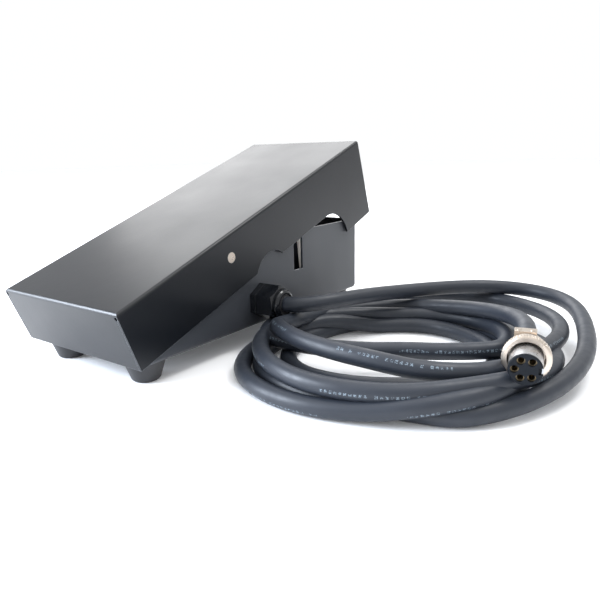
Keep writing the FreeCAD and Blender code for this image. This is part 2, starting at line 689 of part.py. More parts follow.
def potentiometer():
    x, z = mesh_centre()
    place = Placement(Vector(x, value("pot_panel"), z), ALONG_Y)
    bore = "pot_shaft / 2 + 0.06"
    outline = [(bore, "pot_bush"), ("pot_thread / 2", "pot_bush"), ("pot_thread / 2", "0"),
               ("pot_diameter / 2", "0"), ("pot_diameter / 2", "-pot_depth"), ("0", "-pot_depth"),
               ("0", "1 - pot_depth"), (bore, "1 - pot_depth")]
    can = turned("pot_can", outline, place, export=False)
    lugs = [box("pot_lug%d" % number, "%f" % (x - 1.2 + step), "pot_panel - pot_depth + 3",
                "%f" % (z - 17.5), "2.4",
                "0.8", "6.5") for number, step in enumerate((-5, 0, 5))]
    keep(fuse("potentiometer_body", [can] + lugs), "potentiometer_body")
    washer_outline = [("pot_thread / 2 + 0.1", "0"), ("7", "0"), ("7", "0.6"),
                      ("pot_thread / 2 + 0.1", "0.6")]
    face = value("pot_panel + strap_gauge")
    turned("pot_washer", washer_outline, Placement(Vector(x, face, z), ALONG_Y))
    blank = hexagon("pot_nut_blank", Vector(x, face + 0.6, z), ALONG_Y, "12", "2.5")
    nut_bore = rod("pot_nut_bore", Vector(x, face, z), ALONG_Y, "pot_thread", "5")
    keep(cut("pot_nut", blank, [nut_bore]), "pot_nut")
    shaft_length = "pinion_near + pinion_width - pot_panel + pot_depth - 2"
    shaft = rod("pot_shaft", Vector(x, value("pot_panel - pot_depth + 2"), z), ALONG_Y, "pot_shaft",
                shaft_length)
    keep(shaft, "pot_shaft")


def drive_pinion():
    """Twelve teeth and a hub; a tooth points at the sector's gap at rest."""
    x, z = mesh_centre()
    near = value("pinion_near")
    centre = Vector(x, near, z)
    teeth = int(value("pinion_teeth"))
    radius = value("tooth_module * pinion_teeth / 2")
    points = gear_points(centre, teeth, radius, value("mesh_angle") + 180, 0, teeth)
    hub_length = value("hub_length")
    hub_start = Vector(x, near - hub_length, z)
    hub = Part.makeCylinder(value("pinion_hub / 2"), hub_length, hub_start, Vector(0, 1, 0))
    blank = plate_from(points, value("pinion_width")).fuse(hub).removeSplitter()
    blank = blank.cut(Part.makeCylinder(value("pot_shaft / 2"), 30, Vector(x, 0, z), Vector(0, 1, 0)))
    grub = Vector(x, near - hub_length / 2, z)
    made("drive_pinion", blank.cut(Part.makeCylinder(value("small_screw / 2"), 8, grub, UP)))
    grub.z += value("pot_shaft / 2")
    keep(rod("pinion_grub_screw", grub, Rotation(), "small_screw", "2.2"), "pinion_grub_screw")


# ---- switch ----------------------------------------------------------------------------------------------

def switch_holes():
    z = value("switch_low") + 3.4
    return [(value("switch_front") + along, z) for along in (3, 25)]


def microswitch():
    """Case with ears for the lever's axle, terminals below and a plunger in a well."""
    case = box("switch_case", "switch_front", "switch_near", "switch_low", "switch_length", "switch_width",
               "switch_tall")
    top = "switch_low + switch_tall"
    middle = "switch_near + switch_width / 2"
    ears = [box("switch_ear%d" % number, "lever_x - 1.6", "switch_near + %s" % shift, top, "3.2", "1.6", "3")
            for number, shift in enumerate(("0", "switch_width - 1.6"))]
    terminals = [box("switch_terminal%d" % number, "switch_front + %d" % shift, "switch_near + 2",
                     "switch_low - 6",
                     "0.8", "6.3", "6") for number, shift in enumerate((4, 14, 23))]
    holes = [rod("switch_case_hole%d" % number, Vector(x, value("switch_near") - 1, z), ALONG_Y,
                 "small_screw + 0.2", "14")
             for number, (x, z) in enumerate(switch_holes())]
    axle_hole = rod("switch_axle_hole", spot("lever_x", "switch_near - 1", "lever_z"), ALONG_Y,
                    "lever_axle", "13")
    well = rod("switch_well", spot("lever_x + plunger_offset", middle, top + " - 6"), Rotation(),
               "plunger_diameter + 0.2", "9")
    blank = fuse("switch_blank", [case] + ears + terminals)
    keep(cut("microswitch_body", blank, holes + [axle_hole, well]), "microswitch_body")
    axle_end = spot("lever_x", "switch_near", "lever_z")
    keep(rod("lever_axle", axle_end, ALONG_Y, "lever_axle", "switch_width"), "lever_axle")
    foot = spot("lever_x + plunger_offset", middle, top + " - 4")
    keep(rod("switch_plunger", foot, Rotation(), "plunger_diameter", "plunger_length"), "switch_plunger")


def switch_lever():
    """A leaf that turns on the axle between the ears, with a rolled eye."""
    centre = spot("lever_x", "switch_near + (switch_width - lever_width) / 2", "lever_z")
    place = Placement(centre, Rotation(Vector(0, 1, 0), -value("lever_angle")))
    leaf = box("lever_leaf", "0", "0", "-lever_gauge / 2", "lever_length", "lever_width", "lever_gauge",
               place)
    eye = rod("lever_eye", centre, ALONG_Y, "lever_axle + 1", "lever_width")
    bore = rod("lever_bore", centre + Vector(0, -1, 0), ALONG_Y, "lever_axle + 0.1", "9")
    keep(cut("switch_lever", fuse("lever_blank", [leaf, eye]), [bore]), "switch_lever")


def switch_bracket():
    far = "switch_near + switch_width"
    front, floor = "switch_front - 2", "base_bottom + gauge"
    upright = box("switch_upright", front, far, floor, "switch_plate_width", "strap_gauge",
                  "switch_plate_height")
    foot = box("switch_foot", front, far, floor, "switch_plate_width", "switch_foot_reach", "strap_gauge")
    holes = [rod("switch_bracket_hole%d" % number, Vector(x, value(far) - 1, z), ALONG_Y,
                 "small_screw + 0.2", "4")
             for number, (x, z) in enumerate(switch_holes())]
    holes += [rod("switch_foot_hole%d" % number, Vector(x, y, 10), Rotation(), "small_screw + screw_gap", "8")
              for number, (x, y) in enumerate(bracket_screw_spots()[2:])]
    keep(cut("switch_bracket", fuse("switch_bracket_blank", [upright, foot]), holes), "switch_bracket")
    near = value("switch_near")
    back = value("switch_near + switch_width + strap_gauge")
    starts = [Placement(Vector(x, near, z), ALONG_Y) for x, z in switch_holes()]
    ends = [Placement(Vector(x, back, z), ALONG_Y) for x, z in switch_holes()]
    group("switch_screws", screw("switch_screw", "small", "16"), starts)
    group("switch_nuts", nut("switch_nut", "small"), ends)


def bracket_fasteners():
    """The screws that hold both brackets to the base floor."""
    under = [(x, y, value("base_bottom")) for x, y in bracket_screw_spots()]
    above = [(x, y, value("base_bottom + gauge + strap_gauge")) for x, y in bracket_screw_spots()]
    group("bracket_screws", screw("bracket_screw", "small", "7"), standing(under))
    group("bracket_nuts", nut("bracket_nut", "small"), standing(above))


# ---- cable gland -----------------------------------------------------------------------------------------

def gland_hexagon(name, height, length):
    """A hexagon on the gland's axis with two of its flats upright."""
    place = gland_place()
    turn = place.Rotation.multiply(Rotation(UP, 30))
    return hexagon(name, place.multVec(spot("0", "0", height)), turn, "gland_flats", length)


def gland_place():
    """The gland's frame: Z along its axis, out of the near wall, from the wall's outer face."""
    return Placement(spot("gland_x", "-base_half", "gland_z"), AGAINST_Y)


def gland_body():
    place = gland_place()
    inner = "-gauge - gland_reach"
    neck = "gland_hex + 8"
    outline = [("gland_bore / 2", inner), ("gland_thread / 2", inner), ("gland_thread / 2", "1"),
               ("gland_neck / 2", "1"), ("gland_neck / 2", neck), ("gland_bore / 2", neck)]
    stem = turned("gland_stem", outline, place, export=False)
    collar_bore = rod("gland_collar_bore", place.multVec(Vector(0, 0, -1)), AGAINST_Y, "gland_bore",
                      "gland_hex + 2")
    collar = cut("gland_collar", gland_hexagon("gland_collar_blank", "0", "gland_hex"), [collar_bore])
    keep(fuse("gland_body", [stem, collar]), "gland_body")
    blank = gland_hexagon("locknut_blank", "-gauge - locknut_length", "locknut_length")
    bore = rod("locknut_bore", place.multVec(spot("0", "0", "-gauge - locknut_length - 1")), AGAINST_Y,
               "gland_thread", "locknut_length + 2")
    keep(cut("gland_locknut", blank, [bore]), "gland_locknut")


def gland_dome():
    """The clamping nut: a hexagon that runs into a round, stepped dome, with the seal inside."""
    place = gland_place()
    start = "gland_hex + dome_gap"
    end = start + " + dome_length"
    flat = "gland_flats / 2"
    bore = "dome_bore / 2"
    outline = [(bore, start), (flat + " + 2", start), (flat + " + 2", end + " - 4.8"),
               (flat + " - 0.3", end + " - 3.2"),
               (flat + " - 1.1", end + " - 3.2"), (flat + " - 1.1", end + " - 2.5"), (flat + " - 0.8",
                                                                                      end + " - 2.2"),
               (flat + " - 0.9", end + " - 1.4"), (flat + " - 1.5", end + " - 0.6"), (flat + " - 2.5", end),
               ("dome_mouth / 2", end), ("dome_mouth / 2", end + " - 1.5"), (bore, end + " - 4")]
    dome = turned("dome_turned", outline, place, export=False)
    common = doc.addObject("Part::Common", "gland_dome_common")
    common.Base = dome
    common.Tool = gland_hexagon("dome_flats", "0", "30")
    doc.recompute()
    keep(common, "gland_dome_nut")
    seal_outer = "dome_bore / 2 - 0.3"
    lip = "dome_mouth / 2 - 0.2"
    seal = [("cable_diameter / 2", "gland_hex + 8"), (seal_outer, "gland_hex + 8"),
            (seal_outer, end + " - 4.2"),
            (lip, end + " - 1.7"), (lip, end + " - 0.4"), ("cable_diameter / 2", end + " - 0.4")]
    turned("gland_seal", seal, place)


def cable_inlet():
    """The cable where it runs through the gland, from the sheath's end inside to the mouth."""
    base = gland_place().multVec(spot("0", "0", "-gauge - gland_reach - sheath_end"))
    length = "gauge + gland_reach + sheath_end + gland_hex + dome_gap + dome_length"
    keep(rod("cable_inlet", base, AGAINST_Y, "cable_diameter", length), "cable_inlet")


def inner_wires():
    """Cores from the sheath's end to the potentiometer's lugs and the switch's terminals."""
    x, z = mesh_centre()
    mouth_y = value("gauge + gland_reach + sheath_end - base_half")
    gland_x, gland_z = value("gland_x"), value("gland_z")
    thick = value("core_diameter")
    lug_y = value("pot_panel - pot_depth + 2.4")
    for number, (name, step) in enumerate((("core_wire_a", -5), ("core_wire_b", 0), ("core_wire_c", 5))):
        start = Vector(gland_x - 2.4 + 2.4 * number, mouth_y, gland_z - 1.6)
        tube(name, [start, start + Vector(0, 6, 0), Vector(-9 + 3 * number, lug_y - 5.4 - 2 * number, 22),
                    Vector(x + step - 5, lug_y - 4.2 - 2 * number, 20.4), Vector(x + step, lug_y + 0.1,
                                                                                 19.8)], thick)
    for number, (name, shift) in enumerate((("core_wire_d", 14), ("core_wire_e", 23))):
        start = Vector(gland_x - 1.3 + 2.6 * number, mouth_y, gland_z + 2)
        end = Vector(value("switch_front") + shift + 1.5, value("switch_near") + 3.5,
                     value("switch_low") - 5.5)
        tube(name, [start, start + Vector(0, 9, 0), Vector(-18 + 3 * number, -8, 22 + number),
                    Vector(end.x + 3, 10, 21), Vector(end.x, end.y - 0.5, end.z - 2.2), end], thick)


# ---- cable -----------------------------------------------------------------------------------------------

LEAD_ROUTE = [
    (-12.8, -72.5, 27.1), (-11.4, -77.8, 27.6), (-8.5, -82.6, 28.1), (-4, -86.7, 28.4), (2.2, -89.9, 28.4),
    (11, -92.8, 28), (23, -96.4, 27.4), (38, -101.5, 26.5), (54, -108.2, 25.4), (71.5, -116.2, 24.2),
    (89.5, -125.5, 22.9), (106, -137.2, 21.8), (117.8, -151, 20.8), (123, -166.8, 20), (121.2, -183, 19.2),
    (112.5, -196, 18.4), (98.5, -205.6, 17.5), (81, -212.3, 16.5), (62, -217.6, 15.4), (42, -221.8, 13.9),
    (20, -223.8, 12.2), (-3, -221.6, 10), (-25, -214, 7.6), (-43.5, -202.6, 5.6), (-58, -189, 4.7),
]
TAIL_ROUTE = [
    (10, -199, 26), (24, -194.5, 25.2), (38, -187, 23.8), (49.5, -175.5, 22), (57.5, -161, 20.2),
    (62.5, -144, 18), (65, -126, 15.6), (62.5, -107, 13.8), (52.5, -91.5, 13), (37.5, -79.5, 13.4),
    (19, -72.5, 14.8), (1, -71.6, 16.4), (-14, -73.2, 17.8), (-28.5, -74, 19.4),
]


def cable_run(label, route, start):
    points = [start] + [Vector(*point) for point in route]
    tube(label, points, value("cable_diameter"))


def cable():
    mouth = "-base_half - gland_hex - dome_gap - dome_length"
    cable_run("cable_lead", LEAD_ROUTE, spot("gland_x", mouth, "gland_z"))
    cable_run("cable_tail", TAIL_ROUTE, plug_place().multVec(spot("0", "0", "barrel_end")))


def coil_disc(long_half, short_half, turn, height):
    """An upright elliptical disc on the floor about the middle of the coil."""
    curve = Part.Ellipse(Vector(), long_half, short_half).toShape()
    face = Part.Face(Part.Wire([curve]))
    face.Placement = Placement(spot("coil_x", "coil_y", "0"), Rotation(UP, value(turn)))
    return face.extrude(Vector(0, 0, value(height)))


def cable_coil():
    """The outer shape of the loose turns: a low ring with a deeper pile at the front and left."""
    hole = coil_disc(value("hole_long"), value("hole_short"), "hole_turn", "coil_high + 1")
    low = coil_disc(value("coil_long"), value("coil_short"), "coil_turn", "coil_low").cut(hole)
    pile = coil_disc(value("coil_long - 6"), value("coil_short - 8"), "coil_turn", "coil_high").cut(hole)
    block = Part.makeBox(200, 400, 60, Vector(value("pile_edge") - 200, -400, 0))
    made("cable_coil", low.fuse(pile.common(block)).removeSplitter())


# ---- plug ------------------------------------------------------------------------------------------------

def plug_place():
    """The plug's frame: Z along its axis towards the nose, from the middle of the screw ring."""
    heading = math.radians(value("plug_heading"))
    dip = math.radians(value("plug_dip"))
    nose = Vector(math.cos(heading) * math.cos(dip), math.sin(heading) * math.cos(dip), -math.sin(dip))
    across = Vector(-math.sin(heading), math.cos(heading), 0)
    return Placement(spot("plug_x", "plug_y", "plug_z"), Rotation(across, nose.cross(across), nose, "ZXY"))


def plug_ring():
    """The screw ring: a knurled collar with a smooth neck behind it, and a wide bore in front."""
    radius = "ring_diameter / 2"
    neck = "ring_neck / 2"
    bore = "ring_bore / 2"
    step = "ring_front - ring_collar"
    back_bore = "barrel_diameter / 2 - 1.1"
    outline = [(bore, "ring_front"), (radius + " - 0.8", "ring_front"), (radius, "ring_front - 0.6"),
               (radius, step + " + 0.4"), (radius + " - 0.4", step), (neck, step), (neck, "ring_back + 0.8"),
               (neck + " - 0.8", "ring_back"), (back_bore, "ring_back"), (back_bore, "ring_back + 1.5"),
               (bore, "ring_back + 1.5")]
    blank = turned("ring_blank", outline, export=False)
    doc.recompute()
    shape = blank.Shape.copy()
    count = 48
    reach = value(radius) + 0.1
    length = value("ring_collar")
    notches = []
    for number in range(count):
        notch = Part.makeBox(0.6, 0.6, length, Vector(-0.3, -0.3, 0))
        notch.rotate(Vector(), UP, 45)
        notch.translate(Vector(reach, 0, value(step)))
        notch.rotate(Vector(), UP, 360 * number / count)
        notches.append(notch)
    shape = shape.cut(notches)
    made("plug_ring", shape.transformed(plug_place().toMatrix(), True))


def plug_body():
    """Sleeve in front, barrel behind with a groove for the ring, and a clamp with two screws."""
    place = plug_place()
    inner = "sleeve_diameter / 2 - sleeve_gauge"
    outer = "barrel_diameter / 2"
    sleeve = [(inner, "-4"), ("sleeve_diameter / 2", "-4"), ("sleeve_diameter / 2", "nose_reach"),
              (inner, "nose_reach")]
    turned("plug_sleeve", sleeve, place)
    barrel = [(inner, "-4"), (inner, "-5.2"), ("cable_diameter / 2", "-5.2"),
              ("cable_diameter / 2", "barrel_end"),
              (outer + " - 1.4", "barrel_end"), (outer, "barrel_end + 1.6"), (outer, "ring_back - 0.2"),
              (outer + " - 1.16", "ring_back - 0.2"), (outer + " - 1.16", "ring_back + 1.6"),
              (outer, "ring_back + 1.6"), (outer, "-4")]
    shell = turned("barrel_turned", barrel, place, export=False)
    low = "barrel_diameter / 2 - 2.6"
    saddle = box("clamp_saddle", "-saddle_width / 2 - saddle_shift", low, "barrel_end + 0.6", "saddle_width",
                 "saddle_top - (%s)" % low, "5.2", place)
    out = place.Rotation.multiply(ALONG_Y)
    starts = [place.multVec(spot("%s - saddle_shift" % side, "saddle_top - 4", "barrel_end + 3.2"))
              for side in (-2.9, 2.9)]
    holes = [rod("clamp_hole%d" % number, start, out, "2.2", "8") for number, start in enumerate(starts)]
    keep(cut("plug_barrel", fuse("barrel_fused", [shell, saddle]), holes), "plug_barrel")
    pins = [rod("clamp_screw%d" % number, start, out, "2.2", "4.2") for number, start in enumerate(starts)]
    doc.recompute()
    made("plug_clamp_screws", Part.Compound([pin.Shape for pin in pins]))


def contact_places():
    """Five contacts on a circle, with the wide gap at the keyway."""
    radius = value("contact_ring")
    angles = [math.radians(54 + 63.5 * number) for number in range(5)]
    return [(radius * math.cos(angle), radius * math.sin(angle)) for angle in angles]


def plug_insert():
    place = plug_place()
    inner = "sleeve_diameter / 2 - sleeve_gauge"
    outer = "sleeve_diameter / 2"
    outline = [("0", "-3.6"), (inner, "-3.6"), (inner, "nose_reach"), (outer, "nose_reach"),
               (outer, "insert_face - 0.3"),
               (outer + " - 0.3", "insert_face"), ("0", "insert_face")]
    blank = turned("insert_turned", outline, place, export=False)
    holes = [rod("contact_hole%d" % number, place.multVec(spot(x, y, "-5")), place.Rotation, "contact_hole",
                 "20")
             for number, (x, y) in enumerate(contact_places())]
    keyway = box("keyway", "sleeve_diameter / 2 - 1.9", "-1.5", "nose_reach", "3", "3", "3", place)
    keep(cut("plug_insert", blank, holes + [keyway]), "plug_insert")
    wall = "contact_hole / 2"
    front = "insert_face - contact_recess"
    tube_outline = [("0", "-5"), (wall, "-5"), (wall, front), (wall + " - 0.4", front),
                    (wall + " - 0.4", "2"), ("0", "2")]
    socket = turned("plug_contact", tube_outline, export=False)
    group("plug_contacts", socket, [place.multiply(Placement(Vector(x, y, 0), Rotation())) for x,
                                    y in contact_places()])


# ---- build, check, write ---------------------------------------------------------------------------------

def check_and_write():
    doc.recompute()
    for item in doc.Objects:
        if "Invalid" in item.State or "Error" in item.State:
            raise RuntimeError("%s did not build: %s" % (item.Name, item.State))
    os.makedirs("parts", exist_ok=True)
    total = Part.Compound([piece.Shape for piece in exported]).BoundBox
    for piece in exported:
        shape = piece.Shape
        if shape.isNull() or not shape.isValid() or not shape.Solids:
            raise RuntimeError("%s has no valid solid" % piece.Label)
        shape.exportStep("parts/%s.step" % piece.Label)
    print("%d nodes, box %s" % (len(exported), total))


pedal_cover()
pivot_rod()
spring_seats()
return_spring()
sector_bracket()
sector_gear()
sector_fasteners()
switch_striker()
base_housing()
pivot_bushes()
rubber_feet()
stop_brackets()
pot_bracket()
potentiometer()
drive_pinion()
microswitch()
switch_lever()
switch_bracket()
bracket_fasteners()
gland_body()
gland_dome()
cable_inlet()
inner_wires()
cable()
cable_coil()
plug_ring()
plug_body()
plug_insert()
check_and_write()
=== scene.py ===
import json
import math

import bmesh
import bpy
from mathutils import Euler, Matrix, Vector


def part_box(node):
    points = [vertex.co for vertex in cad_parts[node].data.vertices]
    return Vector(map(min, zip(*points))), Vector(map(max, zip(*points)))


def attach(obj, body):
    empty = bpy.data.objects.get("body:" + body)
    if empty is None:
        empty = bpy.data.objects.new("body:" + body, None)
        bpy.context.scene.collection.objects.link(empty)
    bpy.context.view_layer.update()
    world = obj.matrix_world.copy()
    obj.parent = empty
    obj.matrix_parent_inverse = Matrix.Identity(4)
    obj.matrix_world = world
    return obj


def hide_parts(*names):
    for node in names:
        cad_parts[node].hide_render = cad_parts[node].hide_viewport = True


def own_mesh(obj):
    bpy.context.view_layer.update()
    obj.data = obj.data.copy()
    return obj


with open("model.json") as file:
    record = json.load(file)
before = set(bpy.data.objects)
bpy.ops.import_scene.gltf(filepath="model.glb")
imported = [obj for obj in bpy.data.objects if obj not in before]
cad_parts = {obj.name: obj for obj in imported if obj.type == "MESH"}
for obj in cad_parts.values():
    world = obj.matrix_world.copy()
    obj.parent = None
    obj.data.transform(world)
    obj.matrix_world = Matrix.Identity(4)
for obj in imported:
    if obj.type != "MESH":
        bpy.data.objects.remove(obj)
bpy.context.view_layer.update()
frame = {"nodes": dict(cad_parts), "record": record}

# Foot pedal control on a white studio floor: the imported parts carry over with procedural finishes,
# and the loose cable, its print and the small details are built here. Metres, +Z up.

MM = 0.001
scene = bpy.context.scene


# ---- camera ------------------------------------------------------------------------------------------

def camera():
    data = bpy.data.cameras.new("camera")
    data.lens = 33.75
    data.sensor_width = 36
    data.clip_start = 0.01
    eye = bpy.data.objects.new("camera", data)
    eye.location = (-0.2685, -0.2645, 0.1134)
    eye.rotation_euler = Euler([math.radians(angle) for angle in (75.37, 1.31, -54.18)], "XYZ")
    scene.collection.objects.link(eye)
    scene.camera = eye


# ---- cable -------------------------------------------------------------------------------------------

CABLE_DIAMETER = 9.2 * MM
LEAD_ROUTE = [
    (-0.0131, -0.0675, 0.0268), (-0.0128, -0.0725, 0.0271), (-0.0114, -0.0778, 0.0276),
    (-0.0085, -0.0826, 0.0281), (-0.004, -0.0867, 0.0284), (0.0022, -0.0899, 0.0284),
    (0.011, -0.0928, 0.028), (0.023, -0.0964, 0.0274), (0.038, -0.1015, 0.0265), (0.054, -0.1082, 0.0254),
    (0.0715, -0.1162, 0.0242), (0.0895, -0.1255, 0.0229), (0.106, -0.1372, 0.0218), (0.1178, -0.151, 0.0208),
    (0.123, -0.1668, 0.02), (0.1212, -0.183, 0.0192), (0.1125, -0.196, 0.0184), (0.0985, -0.2056, 0.0175),
    (0.081, -0.2123, 0.0165), (0.062, -0.2176, 0.0154), (0.042, -0.2218, 0.0139), (0.02, -0.2238, 0.0122),
    (-0.003, -0.2216, 0.01), (-0.025, -0.214, 0.0076), (-0.0435, -0.2026, 0.0056), (-0.058, -0.189, 0.0047),
]
TAIL_ROUTE = [
    (-0.0085, -0.204, 0.0243), (0.01, -0.199, 0.026), (0.024, -0.1945, 0.0252), (0.038, -0.187, 0.0238),
    (0.0495, -0.1755, 0.022), (0.0575, -0.161, 0.0202), (0.0625, -0.144, 0.018), (0.065, -0.126, 0.0156),
    (0.0625, -0.107, 0.0138), (0.0525, -0.0915, 0.013), (0.0375, -0.0795, 0.0134), (0.019, -0.0725, 0.0148),
    (0.001, -0.0716, 0.0164), (-0.014, -0.0732, 0.0178), (-0.0285, -0.074, 0.0194),
]
# The loose coil: an ellipse that every turn follows at its own share of the size and its own height.
COIL_CENTRE = Vector((0.017, -0.133, 0))
COIL_LONG = 0.106
COIL_SHORT = 0.080
COIL_TURN = math.radians(-12)
POINTS_PER_TURN = 24
# (direction in degrees, share of the ellipse, height in mm), clockwise, one row of the list per turn
COIL_TURNS = [
    [(205, .93, 4.7), (190, .86, 4.7), (165, .86, 4.7), (135, .90, 4.7), (115, .84, 6.5), (97, .71, 12),
     (80, .60, 9), (60, .50, 5), (33, .43, 4.8), (0, .375, 4.8), (-30, .385, 4.8), (-55, .47, 4.8),
     (-90, .62, 4.8)],
    [(235, .72, 4.8), (205, .655, 4.8), (180, .66, 4.8), (155, .72, 4.8), (130, .74, 4.8), (100, .70, 4.6),
     (70, .63, 4.8), (35, .54, 4.8), (0, .52, 4.8), (-30, .54, 4.8), (-60, .62, 4.8), (-90, .82, 7)],
    [(240, 1.01, 10.5), (218, 1.06, 12.5), (203, 1.0, 8.5), (188, .95, 5), (165, .965, 4.8), (140, 1.0, 4.8),
     (120, .96, 4.8), (95, .86, 4.8), (70, .75, 4.8), (40, .65, 4.8), (0, .62, 4.8), (-30, .65, 5), (-55, .76, 7),
     (-80, .93, 10)],
    [(250, 1.05, 13.5), (230, 1.01, 15), (203, .965, 14), (180, .915, 14), (155, .88, 14), (130, .90, 14),
     (105, .82, 14), (80, .68, 12.5), (55, .56, 11), (33, .48, 10.5), (0, .45, 10.5), (-30, .50, 11),
     (-55, .58, 12.5), (-80, .645, 13)],
    [(264, .655, 13), (248, .52, 13), (222, .40, 13), (197, .345, 13), (169, .42, 13), (151, .56, 13),
     (140, .76, 14), (126, .92, 14), (108, .94, 13), (80, .92, 12), (40, .94, 11.5), (5, .98, 12), (-20, .97, 12),
     (-45, .965, 13), (-70, .93, 14), (-95, .885, 15)],
    [(245, .92, 15.5), (228, .90, 17), (210, .835, 19), (195, .755, 21.5), (178, .705, 22.7), (160, .705, 22.7),
     (145, .745, 22), (133, .80, 20.8)],
]


def coil_stations():
    """Every turn's stations in one list, with the direction running on past each full turn."""
    return [(direction - 360 * turn, share, height)
            for turn, row in enumerate(COIL_TURNS) for direction, share, height in row]


def smooth_between(stations, direction, item):
    """The share or height at one direction, on a smooth line through the stations."""
    index = max(i for i in range(len(stations) - 1) if stations[i][0] >= direction - 1e-9)
    here, there = stations[index], stations[index + 1]

    def slope(number):
        before = stations[max(number - 1, 0)]
        after = stations[min(number + 1, len(stations) - 1)]
        return (after[item] - before[item]) / (after[0] - before[0])

    width = there[0] - here[0]
    step = (direction - here[0]) / width
    return ((2 * step ** 3 - 3 * step ** 2 + 1) * here[item]
            + (step ** 3 - 2 * step ** 2 + step) * slope(index) * width
            + (3 * step ** 2 - 2 * step ** 3) * there[item]
            + (step ** 3 - step ** 2) * slope(index + 1) * width)


def coil_points():
    """The loose turns as one run of points, evenly spaced in direction."""
    stations = coil_stations()
    first, last = stations[0][0], stations[-1][0]
    count = round((first - last) * POINTS_PER_TURN / 360)
    points = []
    for number in range(count + 1):
        direction = first + (last - first) * number / count
        share = smooth_between(stations, direction, 1)
        height = smooth_between(stations, direction, 2)
        angle = math.radians(direction)
        own = angle - COIL_TURN
        across = math.hypot(COIL_SHORT * math.cos(own), COIL_LONG * math.sin(own))
        radius = share * COIL_LONG * COIL_SHORT / across
        points.append(COIL_CENTRE + Vector((radius * math.cos(angle), radius * math.sin(angle), height * MM)))
    return points


def nurbs(name, points, resolution):
    """One open smooth curve with the points as its control points."""
    data = bpy.data.curves.new(name, "CURVE")
    data.dimensions = "3D"
    data.resolution_u = resolution
    spline = data.splines.new("NURBS")
    spline.points.add(len(points) - 1)
    for control, point in zip(spline.points, points):
        control.co = (*point, 1)
    spline.order_u = 3
    spline.use_endpoint_u = True
    curve = bpy.data.objects.new(name, data)
    scene.collection.objects.link(curve)
    return curve


def line_of(curve):
    """The points that the curve passes through, and the curve taken away."""
    bpy.context.view_layer.update()
    graph = bpy.context.evaluated_depsgraph_get()
    mesh = bpy.data.meshes.new_from_object(curve.evaluated_get(graph))
    points = [vertex.co.copy() for vertex in mesh.vertices]
    bpy.data.meshes.remove(mesh)
    bpy.data.objects.remove(curve)
    return points


def tube_mesh(name, path, radius, sides, twist=0.0):
    """A round tube along the path; its UV map holds the metres along it and the turn round it."""
    bm = bmesh.new()
    uv = bm.loops.layers.uv.new("UVMap")
    up = Vector((0, 0, 1))
    rings = []
    travelled = [0.0]
    for before, after in zip(path, path[1:]):
        travelled.append(travelled[-1] + (after - before).length)
    for number, point in enumerate(path):
        ahead = path[min(number + 1, len(path) - 1)] - path[max(number - 1, 0)]
        ahead.normalize()
        side = (up - ahead * up.dot(ahead)).normalized()
        other = ahead.cross(side)
        turned = travelled[number] * twist
        ring = []
        for step in range(sides):
            angle = turned + 2 * math.pi * step / sides
            ring.append(bm.verts.new(point + (side * math.cos(angle) + other * math.sin(angle)) * radius))
        rings.append(ring)
    for number in range(len(path) - 1):
        for step in range(sides):
            following = (step + 1) % sides
            face = bm.faces.new((rings[number][step], rings[number][following],
                                 rings[number + 1][following], rings[number + 1][step]))
            face.smooth = True
            places = ((number, step), (number, step + 1), (number + 1, step + 1), (number + 1, step))
            for loop, (ring, turn) in zip(face.loops, places):
                loop[uv].uv = (travelled[ring], turn / sides)
    for ring in (rings[0], rings[-1]):
        bm.faces.new(ring)
    bmesh.ops.recalc_face_normals(bm, faces=bm.faces)
    mesh = bpy.data.meshes.new(name)
    bm.to_mesh(mesh)
    bm.free()
    piece = bpy.data.objects.new(name, mesh)
    scene.collection.objects.link(piece)
    return piece


def cable():
    """One round cable from the gland, through the loose turns, to the plug."""
    lead = [Vector(point) for point in LEAD_ROUTE]
    tail = [Vector(point) for point in reversed(TAIL_ROUTE)]
    route = lead + coil_points() + tail
    path = line_of(nurbs("cable_line", route, 6))
    piece = tube_mesh("cable", path, CABLE_DIAMETER / 2, 24, twist=0.9)
    piece.data.materials.append(cable_rubber())
    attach(piece, "base")
    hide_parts("cable_lead", "cable_coil", "cable_tail")


# ---- return spring -----------------------------------------------------------------------------------

SPRING_WIRE = 1.6 * MM
SPRING_TURNS = 10
SPRING_SIDES = 12
# the coil is drawn a touch thinner than the wire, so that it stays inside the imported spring
SPRING_SHARE = 0.98


def return_spring():
    """A leaning coil spring with closed end turns."""
    low, high = (Vector(corner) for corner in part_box("return_spring"))
    outer = (high.y - low.y) / 2
    radius = outer - SPRING_WIRE / 2
    foot = Vector((high.x - outer, 0, low.z + SPRING_WIRE / 2))
    top = Vector((low.x + outer, 0, high.z - SPRING_WIRE / 2))
    rise = (top - foot).z
    end_share = SPRING_WIRE / rise
    path = []
    steps = SPRING_TURNS * POINTS_PER_TURN
    for step in range(steps + 1):
        turns = step / POINTS_PER_TURN
        open_turns = min(max(turns - 1, 0), SPRING_TURNS - 2)
        closed_turns = turns - open_turns
        share = closed_turns * end_share + open_turns * (1 - 2 * end_share) / (SPRING_TURNS - 2)
        angle = 2 * math.pi * turns
        path.append(foot.lerp(top, share) + Vector((math.cos(angle), math.sin(angle), 0)) * radius)
    piece = tube_mesh("return_coil", path, SPRING_WIRE / 2 * SPRING_SHARE, SPRING_SIDES)
    piece.data.materials.append(spring_wire())
    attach(piece, "base")
    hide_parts("return_spring")
    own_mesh(piece)


# ---- materials ---------------------------------------------------------------------------------------

